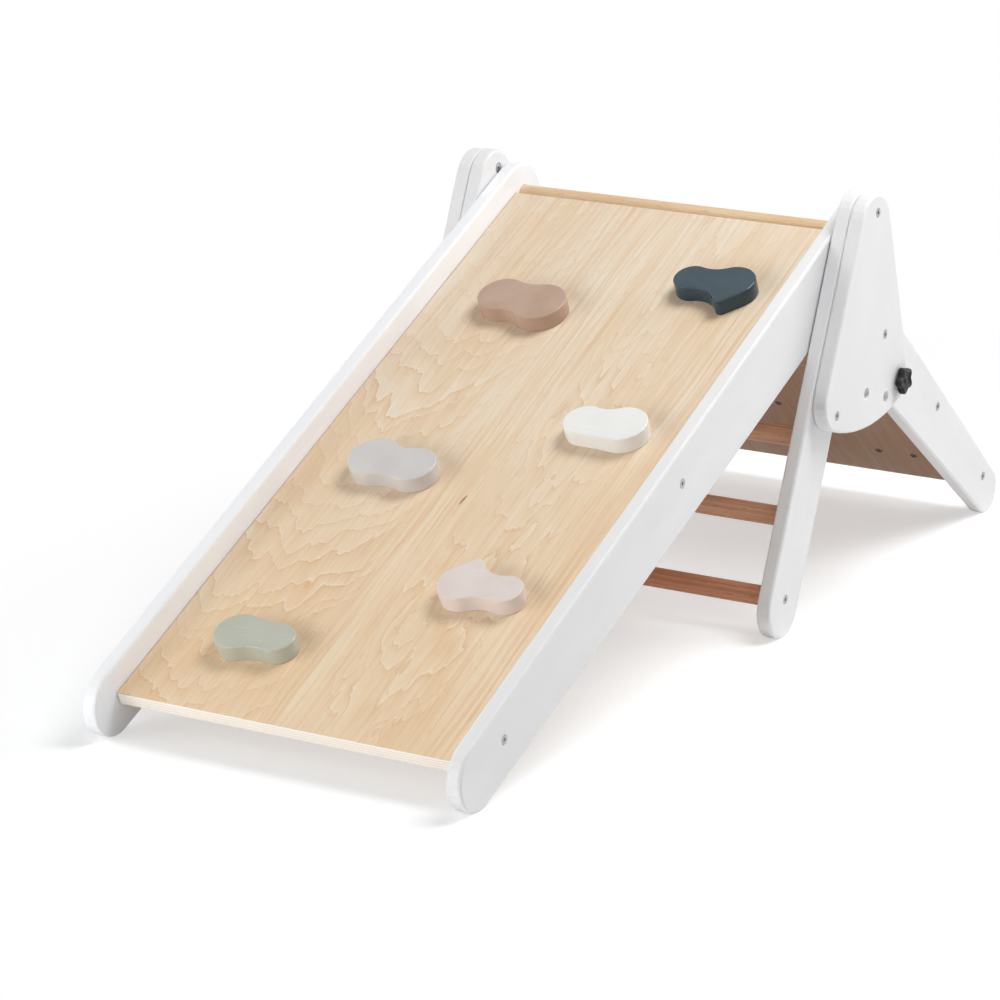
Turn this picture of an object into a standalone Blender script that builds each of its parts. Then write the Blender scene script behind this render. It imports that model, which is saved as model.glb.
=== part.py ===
"""Folding climbing triangle with a climbing ramp hooked on its top rung.

The object stands on the floor at z = 0 with the ramp's foot towards -Y and the rear frame's feet
towards +Y.  X runs across it.  Lengths are in metres and the side view is drawn in (y, z).
"""

import math

import bmesh
import bpy
from mathutils import Vector

for old in list(bpy.data.objects):
    bpy.data.objects.remove(old, do_unlink=True)

# Boards and the layers they lie in, from the middle outwards
BOARD = 0.018                 # thickness of every painted board
PLY = 0.016                   # thickness of the plywood panels
RAMP_WIDTH = 0.480            # over the outer faces of the ramp's rails
RAMP_PLAY = 0.0015            # between a rail and the leg beside it
FIT = 0.0003                  # between pieces that touch
EDGE_ROUND = 0.003            # round-over on every board
PLY_EDGE = 0.0008             # broken edge on the plywood
FOOT_FLAT = 0.010             # width of the flat under every foot

# Ramp
RAIL_PAST_HOOK = 0.0692       # from the top rung to the centre of the rail's round head
RAIL_FOOT_R = 0.0395
RAIL_HEAD_R = 0.0495
PANEL_DROP = 0.030            # from the rail's upper edge down to the panel
PANEL_START = 0.004           # from the rail's foot centre to the panel's lower end
PANEL_SHORT = 0.006           # from the panel's upper end to the rail's head centre
PANEL_SCREW_LOW = 0.052       # from the panel's lower end to its first screws
PANEL_SCREW_HIGH = 0.039      # from the panel's upper end to its last screws
HEAD_DOWEL_PAST = 0.0095      # from the rail's head centre on to the dowel
HEAD_DOWEL_OFF = -0.0045
HEAD_DOWEL_SOCKET = 0.010     # depth of the dowel's sockets in the rails

# Front frame
RAMP_REACH = 0.6605           # from the ramp's foot centre to the front legs' foot centre
LEG_LEAN = math.radians(24.1)  # of the leg's straight front edge, from upright
LEG_LENGTH = 0.463            # between the centres of the leg's round ends
LEG_FOOT_R = 0.0375
LEG_HEAD_R = 0.0375
RUNG_R = 0.012
LOWER_RUNGS = 4
RUNG_FIRST = 0.0095           # from the leg's foot centre up to the lowest rung
RUNG_BELOW_BOLT = 0.031       # from the fan plate's lower bolt down to the third rung
TOP_RUNG_BELOW = 0.075        # from the leg's head centre down to the top rung
RUNG_SOCKET = 0.010           # depth of a rung's sockets in the legs

# Fan plates, measured along and off the leg
FAN_HEAD_R = 0.0405
TOP_BOLT_PAST = 0.015         # from the leg's head centre up to the top bolt
LOWER_BOLT_RIM = 0.020        # from the plate's curved edge up to the lower bolt
PIVOT_BELOW = 0.114           # from the leg's head centre down to the pivot
PIVOT_GAP = 0.0025            # between the rear leg's round head and the front leg
FAN_ARC_PAST = 0.023          # from the leg's head centre to the centre of the curved edge
FAN_ARC_OFF = 0.018
FAN_RIM_BELOW = 0.025         # from the rearmost lock hole to the curved edge
FAN_RIM_BEHIND = 0.0265       # from the rearmost lock hole to the straight rear edge
FAN_FRONT_CORNER_R = 0.036
FAN_REAR_CORNER_R = 0.012

# Rear frame
REAR_LENGTH = 0.465           # from the pivot to the rear foot's centre
REAR_FOOT_R = 0.0295
REAR_HEAD_R = 0.048
REAR_PANEL_START = 0.030      # from the pivot to the panel's upper end
REAR_PANEL_SHORT = 0.013      # from the panel's lower end to the foot's centre
REAR_PANEL_DROP = 0.0145      # from the leg's outer edge down to the panel
REAR_SCREW_HIGH = 0.0165      # from the panel's upper end to its first screws
REAR_SCREW_LOW = 0.0145       # from the panel's lower end to its last screws

# Lock between fan plate and rear leg
LOCK_R = 0.0785               # from the pivot to the lock holes
LOCK_ANGLE = math.radians(18.2)  # of the leg's threaded insert below its centre line
LOCK_STEPS = (0.0, math.radians(29.0), math.radians(71.0))  # folds that meet a lock hole
LOCK_HOLE_R = 0.007
STUD_R = 0.004
STUD_IN_KNOB = 0.007          # depth of the stud in its knob
INSERT_R = 0.0055
INSERT_LENGTH = 0.013
INSERT_BORE_DEPTH = 0.012
KNOB_R = 0.0172               # over the lobes
KNOB_LOBE = 0.0016            # half the depth of the grooves between lobes
KNOB_LOBES = 5
KNOB_TURN = math.radians(40)   # of the lobes, up from the rearward one
KNOB_THICK = 0.0105
KNOB_ROUND = 0.0018

# Fasteners
HEAD_R = 0.0055
HEAD_THICK = 0.0030
HEX_R = 0.0024                # centre to corner of the hexagon socket
HEX_DEPTH = 0.0020
SCREW_R = 0.0025
SCREW_LENGTH = 0.050
RUNG_SCREW_LENGTH = 0.045
BOLT_R = 0.0030
BOLT_LENGTH = 0.022
NUT_R = 0.0048
NUT_HEAD_R = 0.0065
NUT_HEAD_THICK = 0.0020

# Climbing holds: thickness and round-over, then each hold's place and outline
HOLD_LENGTH = 0.050           # the other sizes of the outlines are multiples of it
HOLD_THICK = 0.020
HOLD_ROUND = 0.0022

# Facets
END_STEP = math.radians(14)   # largest turn between facets of a board's round end
FAN_ARC_STEPS = 10            # on the fan plate's curved edge
ROUND_STEPS = 2               # on a round-over
DOWEL_SIDES = 20
TURNED_SIDES = 12
PILOT_SIDES = 8
HOLD_STEP = math.radians(26)  # largest turn between facets of a hold's outline
KNOB_POINTS = 8               # on one lobe of a knob

# Finishes: colour, roughness, metallic
WHITE_PAINT = ((0.86, 0.86, 0.85), 0.42, 0.0)
BIRCH_PLY = ((0.76, 0.58, 0.38), 0.50, 0.0)
BEECH = ((0.60, 0.36, 0.20), 0.50, 0.0)
BLACK_PLASTIC = ((0.015, 0.015, 0.016), 0.45, 0.0)
STEEL = ((0.55, 0.55, 0.54), 0.30, 1.0)
TAUPE = ((0.52, 0.38, 0.31), 0.45, 0.0)
SLATE = ((0.07, 0.11, 0.13), 0.40, 0.0)
WARM_WHITE = ((0.84, 0.84, 0.81), 0.45, 0.0)
LILAC_GREY = ((0.62, 0.60, 0.60), 0.45, 0.0)
PALE_PINK = ((0.74, 0.65, 0.62), 0.45, 0.0)
SAGE = ((0.48, 0.51, 0.44), 0.45, 0.0)


class Line:
    """A line of the side view: points are given along it and off it, anticlockwise side positive."""

    def __init__(self, point, angle):
        self.point = point
        self.angle = angle

    def at(self, along, off=0.0):
        cosine, sine = math.cos(self.angle), math.sin(self.angle)
        y, z = self.point
        return (y + along * cosine - off * sine, z + along * sine + off * cosine)

    def find(self, point):
        """The along and off of a point given in the side view."""
        dy, dz = point[0] - self.point[0], point[1] - self.point[1]
        cosine, sine = math.cos(self.angle), math.sin(self.angle)
        return (dy * cosine + dz * sine, dz * cosine - dy * sine)


def arc(centre, radius, start, end, steps):
    """Points of an arc from angle start to angle end, both ends included."""
    points = []
    for step in range(steps + 1):
        angle = start + (end - start) * step / steps
        points.append((centre[0] + radius * math.cos(angle), centre[1] + radius * math.sin(angle)))
    return points


def facets(turn, largest=END_STEP):
    """How many facets an arc gets for its turn."""
    return max(1, math.ceil(turn / largest))


def heading(start, end):
    """The angle from one point of a plane to another."""
    return math.atan2(end[1] - start[1], end[0] - start[0])


def cleared(radius, sides):
    """Corner radius of a hole of this many sides that clears a shaft by FIT all round."""
    return (radius + FIT) / math.cos(math.pi / sides)


# Layers across the object, as distances from its middle plane
rail_outer = RAMP_WIDTH / 2
rail_inner = rail_outer - BOARD
leg_inner = rail_outer + RAMP_PLAY
leg_outer = leg_inner + BOARD
fan_inner = leg_outer + FIT
fan_outer = fan_inner + BOARD
SIDES = (("right", 1), ("left", -1))


def foot_height(radius):
    """Height of a round foot's centre over the flat that it stands on."""
    return math.sqrt(radius ** 2 - (FOOT_FLAT / 2) ** 2)


def edge_normals(length, start_r, end_r, datum):
    """Centre of the far end of a tapered outline, and the outward angles of its two edges."""
    end = (length, -datum * (end_r - start_r))
    lean = math.atan2(end[1], end[0])
    spread = math.acos((start_r - end_r) / math.hypot(*end))
    return end, lean - spread, lean + spread


# The side view, first with the ramp's foot at y = 0 and then centred front to back
leg_angle = math.pi / 2 - LEG_LEAN
leg_line = Line((RAMP_REACH, foot_height(LEG_FOOT_R)), leg_angle)
leg_head, leg_rear_normal, leg_front_normal = edge_normals(LEG_LENGTH, LEG_FOOT_R, LEG_HEAD_R, 1)

# The pivot stands off the front leg's rear edge by the rear leg's round head
pivot_along = LEG_LENGTH - PIVOT_BELOW
pivot_reach = LEG_FOOT_R + PIVOT_GAP + REAR_HEAD_R
pivot_off = (pivot_reach - pivot_along * math.cos(leg_rear_normal)) / math.sin(leg_rear_normal)
pivot = leg_line.at(pivot_along, pivot_off)
rear_slope = math.asin((pivot[1] - foot_height(REAR_FOOT_R)) / REAR_LENGTH)
length_over_all = pivot[0] + REAR_LENGTH * math.cos(rear_slope) + REAR_FOOT_R + RAIL_FOOT_R
middle = length_over_all / 2 - RAIL_FOOT_R

leg_line = Line((RAMP_REACH - middle, foot_height(LEG_FOOT_R)), leg_angle)
pivot = leg_line.at(pivot_along, pivot_off)
top_rung = LEG_LENGTH - TOP_RUNG_BELOW
hook = leg_line.at(top_rung)

# The ramp lies with its foot on the floor and its panel on the top rung
panel_top = RAIL_FOOT_R - PANEL_DROP
panel_under = panel_top - PLY
ramp_foot = (-middle, foot_height(RAIL_FOOT_R))
hook_off = panel_under - FIT - RUNG_R
hook_reach = math.hypot(hook[0] - ramp_foot[0], hook[1] - ramp_foot[1])
hook_rise = math.atan2(hook[1] - ramp_foot[1], hook[0] - ramp_foot[0])
ramp_line = Line(ramp_foot, hook_rise - math.asin(hook_off / hook_reach))
hook_along = ramp_line.find(hook)[0]
rail_length = hook_along + RAIL_PAST_HOOK
panel_length = rail_length - PANEL_SHORT - PANEL_START

# The rear leg's centre line runs down from the pivot, and its outer edge tapers towards it
rear_line = Line(pivot, -rear_slope)
rear_taper = math.asin((REAR_HEAD_R - REAR_FOOT_R) / REAR_LENGTH)
rear_edge = Line(pivot, -rear_slope - rear_taper)
rear_panel_top = REAR_HEAD_R - REAR_PANEL_DROP
rear_panel_length = REAR_LENGTH - REAR_PANEL_START - REAR_PANEL_SHORT
lock_line = Line(pivot, -rear_slope - LOCK_ANGLE)
lock_holes = [Line(pivot, lock_line.angle - fold).at(LOCK_R) for fold in LOCK_STEPS]

# The fan plate's curved edge and straight rear edge keep their rims round the rearmost lock hole
rear_hole = leg_line.find(lock_holes[0])
fan_head = (LEG_LENGTH + LEG_HEAD_R - FAN_HEAD_R, LEG_FOOT_R - FAN_HEAD_R)
fan_arc_centre = (LEG_LENGTH + FAN_ARC_PAST, FAN_ARC_OFF)
fan_arc_r = math.dist(fan_arc_centre, rear_hole) + FAN_RIM_BELOW
lower_bolt_along = fan_arc_centre[0] - fan_arc_r + LOWER_BOLT_RIM
bolt_places = {"top": LEG_LENGTH + TOP_BOLT_PAST, "lower": lower_bolt_along}

# The lower rungs are evenly spaced, and the third one clears the lower bolt
rung_pitch = (lower_bolt_along - RUNG_BELOW_BOLT - RUNG_FIRST) / 2
rung_places = [RUNG_FIRST + rung_pitch * number for number in range(LOWER_RUNGS)] + [top_rung]


def finish(piece, look):
    """Give a piece its own material."""
    colour, roughness, metallic = look
    material = bpy.data.materials.new(piece.name)
    material.use_nodes = True
    shader = material.node_tree.nodes["Principled BSDF"]
    shader.inputs["Base Color"].default_value = (*colour, 1.0)
    shader.inputs["Roughness"].default_value = roughness
    shader.inputs["Metallic"].default_value = metallic
    piece.data.materials.append(material)


def new_object(name, mesh_builder, smooth=math.radians(35)):
    """Make an object whose mesh comes from mesh_builder(bm)."""
    mesh = bpy.data.meshes.new(name)
    bm = bmesh.new()
    mesh_builder(bm)
    bmesh.ops.recalc_face_normals(bm, faces=bm.faces)
    bm.to_mesh(mesh)
    bm.free()
    mesh.shade_smooth()
    mesh.set_sharp_from_angle(angle=smooth)
    piece = bpy.data.objects.new(name, mesh)
    bpy.context.scene.collection.objects.link(piece)
    return piece


def stack(bm, rings):
    """Join closed rings of points one after another and cap both ends."""
    loops = [[bm.verts.new(point) for point in ring] for ring in rings]
    for lower, upper in zip(loops, loops[1:]):
        for index in range(len(lower)):
            following = (index + 1) % len(lower)
            bm.faces.new((lower[index], lower[following], upper[following], upper[index]))
    bm.faces.new(loops[0])
    bm.faces.new(list(reversed(loops[-1])))


def ring_at(x, centre, radius, sides, hexagon=False):
    """A ring round a line along X, which a hexagon's corners and edge middles may fill."""
    points = []
    for side in range(sides):
        reach = radius * math.cos(math.pi / 6) if hexagon and side % 2 else radius
        angle = 2 * math.pi * side / sides
        points.append((x, centre[0] + reach * math.cos(angle), centre[1] + reach * math.sin(angle)))
    return points


def turned(bm, centre, profile, sides=TURNED_SIDES):
    """A turned solid along X from (x, radius) pairs, where a third value marks a hexagon."""
    stack(bm, [ring_at(step[0], centre, step[1], sides, len(step) > 2) for step in profile])


def place(piece, carrier, point, angle=0.0, x=0.0):
    """Set a piece at a point of the side view, turned by an angle, under its carrier."""
    piece.parent = carrier
    piece.location = Vector((x, *point)) - carrier.location
    piece.rotation_euler = (angle, 0.0, 0.0)


def cut(piece, name, mesh_builder):
    """Cut a shape drawn in the piece's own frame out of it."""
    cutter = new_object(piece.name + "_" + name, mesh_builder)
    cutter.parent = piece
    cutter.hide_render = True
    cutter.display_type = "WIRE"
    modifier = piece.modifiers.new(name, "BOOLEAN")
    modifier.operation = "DIFFERENCE"
    modifier.solver = "EXACT"
    modifier.object = cutter


def drill(piece, name, holes):
    """Bore holes into a piece: each is its (along, off), its turned profile and its sides."""
    def build(bm):
        for centre, profile, sides in holes:
            turned(bm, centre, profile, sides)
    cut(piece, name, build)


def board(name, outline, near, far):
    """A board with this side outline, from near to far across it, rounded over on both faces."""
    def build(bm):
        stack(bm, [[(near, *point) for point in outline], [(far, *point) for point in outline]])
    piece = new_object(name, build)
    bevel = piece.modifiers.new("round_over", "BEVEL")
    bevel.width = EDGE_ROUND
    bevel.segments = ROUND_STEPS
    bevel.limit_method = "ANGLE"
    bevel.angle_limit = math.radians(60)
    finish(piece, WHITE_PAINT)
    return piece


def round_end(centre, radius, start, end, down=None):
    """A round end of a board, with a flat where it faces straight down onto the floor."""
    if down is None:
        return arc(centre, radius, start, end, facets(end - start))
    half = math.asin(FOOT_FLAT / 2 / radius)
    down = start + (down - start) % (2 * math.pi)
    before = arc(centre, radius, start, down - half, facets(down - half - start))
    after = arc(centre, radius, down + half, end, facets(end - down - half))
    return before + after


def tapered_outline(length, start_r, end_r, datum, start_down=None, end_down=None):
    """Two round ends with straight edges between them.

    datum is +1 or -1 for the edge that runs parallel to the board's line, or 0 for an even taper.
    start_down and end_down are the directions of the floor for the end that stands on it.
    """
    end, low, high = edge_normals(length, start_r, end_r, datum)
    far = round_end(end, end_r, low, high, end_down)
    near = round_end((0.0, 0.0), start_r, high, low + 2 * math.pi, start_down)
    return far + near


def fan_outline():
    """The fan plate in the leg's frame: round head, two straight edges, curved foot."""
    full = 2 * math.pi

    # Front corner: inside the front edge and inside the curved foot
    reach = fan_arc_r - FAN_FRONT_CORNER_R
    front_off = LEG_FOOT_R - FAN_FRONT_CORNER_R
    front_along = fan_arc_centre[0] - math.sqrt(reach ** 2 - (front_off - fan_arc_centre[1]) ** 2)
    front_touch = heading(fan_arc_centre, (front_along, front_off)) % full

    # The rear edge touches the plate's head and passes the rearmost lock hole at its rim
    bend = math.acos((FAN_HEAD_R - FAN_RIM_BEHIND) / math.dist(fan_head, rear_hole))
    rear_normal = heading(fan_head, rear_hole) + bend
    rear = Line(fan_head, rear_normal + math.pi / 2)

    # Rear corner: inside the rear edge and inside the curved foot
    centre_along, centre_off = rear.find(fan_arc_centre)
    rear_off = FAN_REAR_CORNER_R - FAN_HEAD_R
    reach = fan_arc_r - FAN_REAR_CORNER_R
    rear_centre = rear.at(centre_along - math.sqrt(reach ** 2 - (rear_off - centre_off) ** 2), rear_off)
    rear_touch = heading(fan_arc_centre, rear_centre) % full

    outline = round_end(fan_head, FAN_HEAD_R, rear_normal, math.pi / 2)
    outline += round_end((front_along, front_off), FAN_FRONT_CORNER_R, math.pi / 2, front_touch)
    outline += arc(fan_arc_centre, fan_arc_r, front_touch, rear_touch, FAN_ARC_STEPS)[1:-1]
    outline += round_end(rear_centre, FAN_REAR_CORNER_R, rear_touch, rear_normal % full)
    return outline


def hand_profile(profile, side):
    """A turned profile for the side it is on: +1 keeps it, -1 mirrors it across the middle."""
    return [(side * step[0], *step[1:]) for step in profile]


def screw_profile(head_face, length):
    """A countersunk-flush screw whose head's face lies at head_face and points outwards."""
    return [(head_face - HEX_DEPTH, HEX_R, "hexagon"),
            (head_face, HEX_R, "hexagon"),
            (head_face, HEAD_R),
            (head_face - HEAD_THICK, HEAD_R),
            (head_face - HEAD_THICK, SCREW_R),
            (head_face - length, SCREW_R)]


def bolt_profile(head_face):
    """The outer half of a connector bolt, its head flush with head_face."""
    return [(head_face - HEX_DEPTH, HEX_R, "hexagon"),
            (head_face, HEX_R, "hexagon"),
            (head_face, HEAD_R),
            (head_face - HEAD_THICK, HEAD_R),
            (head_face - HEAD_THICK, BOLT_R),
            (head_face - BOLT_LENGTH, BOLT_R)]


def nut_profile():
    """The sleeve nut that takes a connector bolt, its head flush with the leg's inner face."""
    bore = cleared(BOLT_R, TURNED_SIDES)
    mouth = fan_outer - HEAD_THICK - 3 * FIT
    return [(leg_inner + HEX_DEPTH, HEX_R, "hexagon"),
            (leg_inner, HEX_R, "hexagon"),
            (leg_inner, NUT_HEAD_R),
            (leg_inner + NUT_HEAD_THICK, NUT_HEAD_R),
            (leg_inner + NUT_HEAD_THICK, NUT_R),
            (mouth, NUT_R),
            (mouth, bore),
            (fan_outer - BOLT_LENGTH - FIT, bore)]


def bore_for_head(face, radius, thick, shank, end):
    """A hole for a head that lies flush in the face, then for its shank down to end.

    The cutter starts a little outside the face, whichever way the hole runs.
    """
    outside = math.copysign(BOARD, face - end)
    step = math.copysign(thick + FIT, face - end)
    return [(face + outside, cleared(radius, TURNED_SIDES)),
            (face - step, cleared(radius, TURNED_SIDES)),
            (face - step, cleared(shank, TURNED_SIDES)),
            (end, cleared(shank, TURNED_SIDES))]


def plain_bore(start, end, radius):
    return [(start, radius), (end, radius)]


def turned_piece(name, carrier, point, profile, look, sides=TURNED_SIDES):
    """A turned piece whose profile is drawn across the object at a point of the side view."""
    piece = new_object(name, lambda bm: turned(bm, (0.0, 0.0), profile, sides))
    finish(piece, look)
    place(piece, carrier, point)
    return piece


def empty(name, point, x=0.0):
    """The axis that a moving group of pieces turns or slides on."""
    axis = bpy.data.objects.new(name, None)
    axis.location = (x, *point)
    bpy.context.scene.collection.objects.link(axis)
    return axis


def screw_places(start, length, first_inset, last_inset):
    """Where the screws lie along a panel: one near each end and one halfway between them."""
    first, last = start + first_inset, start + length - last_inset
    return (first, (first + last) / 2, last)


def ply_panel(name, carrier, line, start, length, under, half_width, screws):
    """A plywood panel between two boards, with pilot holes in its edges for their screws."""
    def build(bm):
        bmesh.ops.create_cube(bm, size=1.0)
        bmesh.ops.scale(bm, vec=(2 * half_width, length, PLY), verts=bm.verts)
        bmesh.ops.translate(bm, vec=(0.0, start + length / 2, under + PLY / 2), verts=bm.verts)
    piece = new_object(name, build)
    bevel = piece.modifiers.new("broken_edge", "BEVEL")
    bevel.width = PLY_EDGE
    bevel.segments = 1
    tip = half_width + FIT + BOARD - SCREW_LENGTH - FIT
    pilot = plain_bore(half_width + BOARD, tip, cleared(SCREW_R, PILOT_SIDES))
    drill(piece, "pilots", [((along, under + PLY / 2), hand_profile(pilot, side), PILOT_SIDES)
                            for along in screws for _, side in SIDES])
    finish(piece, BIRCH_PLY)
    place(piece, carrier, line.point, line.angle)
    return piece


def hollow_centre(lobe, following, radius):
    """Centre of the hollow arc that touches two lobes, outside them and on the way from one to the other."""
    first, second = Vector(lobe[:2]), Vector(following[:2])
    apart = (second - first).length
    ahead = (second - first) / apart
    outward = Vector((ahead.y, -ahead.x))
    to_first, to_second = lobe[2] + radius, following[2] + radius
    along = (to_first ** 2 - to_second ** 2 + apart ** 2) / (2 * apart)
    return first + ahead * along + outward * math.sqrt(to_first ** 2 - along ** 2)


def pebble(lobes, hollows, inset):
    """A pebble outline: round lobes taken counter-clockwise, each joined to the next by a hollow arc."""
    following = lobes[1:] + lobes[:1]
    centres = [hollow_centre(*trio) for trio in zip(lobes, following, hollows)]
    outline = []
    for index, (lobe, after, radius) in enumerate(zip(lobes, following, hollows)):
        start = heading(lobe, centres[index - 1])
        turn = (heading(lobe, centres[index]) - start) % (2 * math.pi)
        outline += arc(lobe, lobe[2] - inset, start, start + turn, facets(turn, HOLD_STEP))
        start = heading(centres[index], lobe)
        turn = (start - heading(centres[index], after)) % (2 * math.pi)
        outline += arc(centres[index], radius + inset, start, start - turn, facets(turn, HOLD_STEP))[1:-1]
    return outline


def hold(name, carrier, line, surface, across, along, turn, shape, look):
    """A climbing hold on a panel's face: surface is the face's off, turn the outline's angle on it."""
    levels = [(0.0, 0.0), (HOLD_THICK - HOLD_ROUND, 0.0)]
    for step in range(1, ROUND_STEPS + 1):
        angle = math.pi / 2 * step / ROUND_STEPS
        rise, inset = HOLD_ROUND * math.sin(angle), HOLD_ROUND * (1 - math.cos(angle))
        levels.append((HOLD_THICK - HOLD_ROUND + rise, inset))

    def build(bm):
        cosine, sine = math.cos(turn), math.sin(turn)
        lobes = [tuple(size * HOLD_LENGTH for size in lobe) for lobe in shape[0]]
        hollows = [size * HOLD_LENGTH for size in shape[1]]
        rings = []
        for height, inset in levels:
            outline = pebble(lobes, hollows, inset)
            rings.append([(u * cosine - v * sine, u * sine + v * cosine, height) for u, v in outline])
        stack(bm, rings)
    piece = new_object(name, build)
    finish(piece, look)
    place(piece, carrier, line.at(along, surface + FIT), line.angle, across)
    return piece


def knob_outline(inset):
    """The lobed rim of a star knob."""
    points = []
    for step in range(KNOB_LOBES * KNOB_POINTS):
        angle = 2 * math.pi * step / (KNOB_LOBES * KNOB_POINTS)
        radius = KNOB_R - inset - KNOB_LOBE * (1 - math.cos(KNOB_LOBES * angle))
        angle += KNOB_TURN
        points.append((radius * math.cos(angle), radius * math.sin(angle)))
    return points


def connector(name, carrier, point):
    """A bolt through the fan plate and the sleeve nut that meets it, on both sides."""
    for hand, side in SIDES:
        bolt = hand_profile(bolt_profile(fan_outer), side)
        turned_piece(name + "_bolt_" + hand, carrier, point, bolt, STEEL)
        turned_piece(name + "_nut_" + hand, carrier, point, hand_profile(nut_profile(), side), STEEL)


def build_front_frame():
    """Two legs with rungs between them and the fan plates bolted to their outer faces."""
    root = empty("front_frame", (0.0, 0.0))
    down = -math.pi / 2 - leg_line.angle
    outline = tapered_outline(LEG_LENGTH, LEG_FOOT_R, LEG_HEAD_R, 1, start_down=down)
    nut_bore = bore_for_head(leg_inner, NUT_HEAD_R, NUT_HEAD_THICK, NUT_R, fan_outer)
    bolt_bore = bore_for_head(fan_outer, HEAD_R, HEAD_THICK, NUT_R, leg_inner)
    lock_bore = plain_bore(leg_outer - BOARD, fan_outer + BOARD, LOCK_HOLE_R)
    rung_bore = plain_bore(leg_inner - BOARD, leg_inner + RUNG_SOCKET + FIT, cleared(RUNG_R, DOWEL_SIDES))
    screw_bore = bore_for_head(leg_outer, HEAD_R, HEAD_THICK, SCREW_R, leg_inner + RUNG_SOCKET / 2)
    for hand, side in SIDES:
        leg = board("front_leg_" + hand, outline, side * leg_inner, side * leg_outer)
        holes = [((along, 0.0), hand_profile(rung_bore, side), DOWEL_SIDES) for along in rung_places]
        for along in bolt_places.values():
            holes.append(((along, 0.0), hand_profile(nut_bore, side), TURNED_SIDES))
        drill(leg, "bores", holes)
        drill(leg, "screw_bore", [((RUNG_FIRST, 0.0), hand_profile(screw_bore, side), TURNED_SIDES)])
        place(leg, root, leg_line.point, leg_line.angle)

        fan = board("fan_plate_" + hand, fan_outline(), side * fan_inner, side * fan_outer)
        centres = [(along, 0.0) for along in bolt_places.values()] + [(pivot_along, pivot_off)]
        holes = [(centre, hand_profile(bolt_bore, side), TURNED_SIDES) for centre in centres]
        for point in lock_holes:
            holes.append((leg_line.find(point), hand_profile(lock_bore, side), DOWEL_SIDES))
        drill(fan, "bores", holes)
        place(fan, root, leg_line.point, leg_line.angle)

        screw = hand_profile(screw_profile(leg_outer, RUNG_SCREW_LENGTH), side)
        turned_piece("rung_screw_" + hand, root, leg_line.at(RUNG_FIRST), screw, STEEL)

    for name, along in bolt_places.items():
        connector(name, root, leg_line.at(along))
    connector("pivot", root, pivot)

    end = leg_inner + RUNG_SOCKET
    for number, along in enumerate(rung_places, 1):
        rung = turned_piece("rung_%d" % number, root, leg_line.at(along), plain_bore(-end, end, RUNG_R),
                            BEECH, DOWEL_SIDES)
        if number == 1:
            tip = leg_outer - RUNG_SCREW_LENGTH - FIT
            pilot = plain_bore(leg_outer, tip, cleared(SCREW_R, PILOT_SIDES))
            holes = [((0.0, 0.0), hand_profile(pilot, side), PILOT_SIDES) for _, side in SIDES]
            drill(rung, "pilots", holes)


def build_rear_frame():
    """Two legs that swing on the fan plates' pivots, a panel between them and its holds."""
    swing = empty("rear_frame", pivot)
    down = -math.pi / 2 - rear_line.angle
    outline = tapered_outline(REAR_LENGTH, REAR_HEAD_R, REAR_FOOT_R, 0, end_down=down)
    panel_middle = rear_panel_top - PLY / 2
    screws = screw_places(REAR_PANEL_START, rear_panel_length, REAR_SCREW_HIGH, REAR_SCREW_LOW)
    stud_bore = cleared(STUD_R, TURNED_SIDES)
    insert = [(leg_outer - INSERT_BORE_DEPTH, stud_bore),
              (leg_outer, stud_bore),
              (leg_outer, INSERT_R),
              (leg_outer - INSERT_LENGTH, INSERT_R)]
    insert_end = leg_outer - INSERT_LENGTH - FIT
    insert_bore = plain_bore(leg_outer + BOARD, insert_end, cleared(INSERT_R, TURNED_SIDES))
    pivot_bore = bore_for_head(leg_inner, NUT_HEAD_R, NUT_HEAD_THICK, NUT_R, fan_outer)
    screw_bore = bore_for_head(leg_outer, HEAD_R, HEAD_THICK, SCREW_R, leg_inner - BOARD)
    for hand, side in SIDES:
        leg = board("rear_leg_" + hand, outline, side * leg_inner, side * leg_outer)
        holes = [((0.0, 0.0), hand_profile(pivot_bore, side), TURNED_SIDES),
                 (rear_line.find(lock_holes[0]), hand_profile(insert_bore, side), TURNED_SIDES)]
        for number, along in enumerate(screws, 1):
            point = rear_edge.at(along, panel_middle)
            holes.append((rear_line.find(point), hand_profile(screw_bore, side), TURNED_SIDES))
            screw = hand_profile(screw_profile(leg_outer, SCREW_LENGTH), side)
            turned_piece("rear_screw_%s_%d" % (hand, number), swing, point, screw, STEEL)
        drill(leg, "bores", holes)
        place(leg, swing, pivot, rear_line.angle)
        turned_piece("lock_insert_" + hand, swing, lock_holes[0], hand_profile(insert, side), STEEL)
    ply_panel("rear_panel", swing, rear_edge, REAR_PANEL_START, rear_panel_length,
              rear_panel_top - PLY, leg_inner - FIT, screws)
    for name, across, along, turn, shape, look in REAR_HOLDS:
        hold(name, swing, rear_edge, rear_panel_top, across * leg_inner,
             REAR_PANEL_START + along * rear_panel_length, turn, shape, look)


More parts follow.
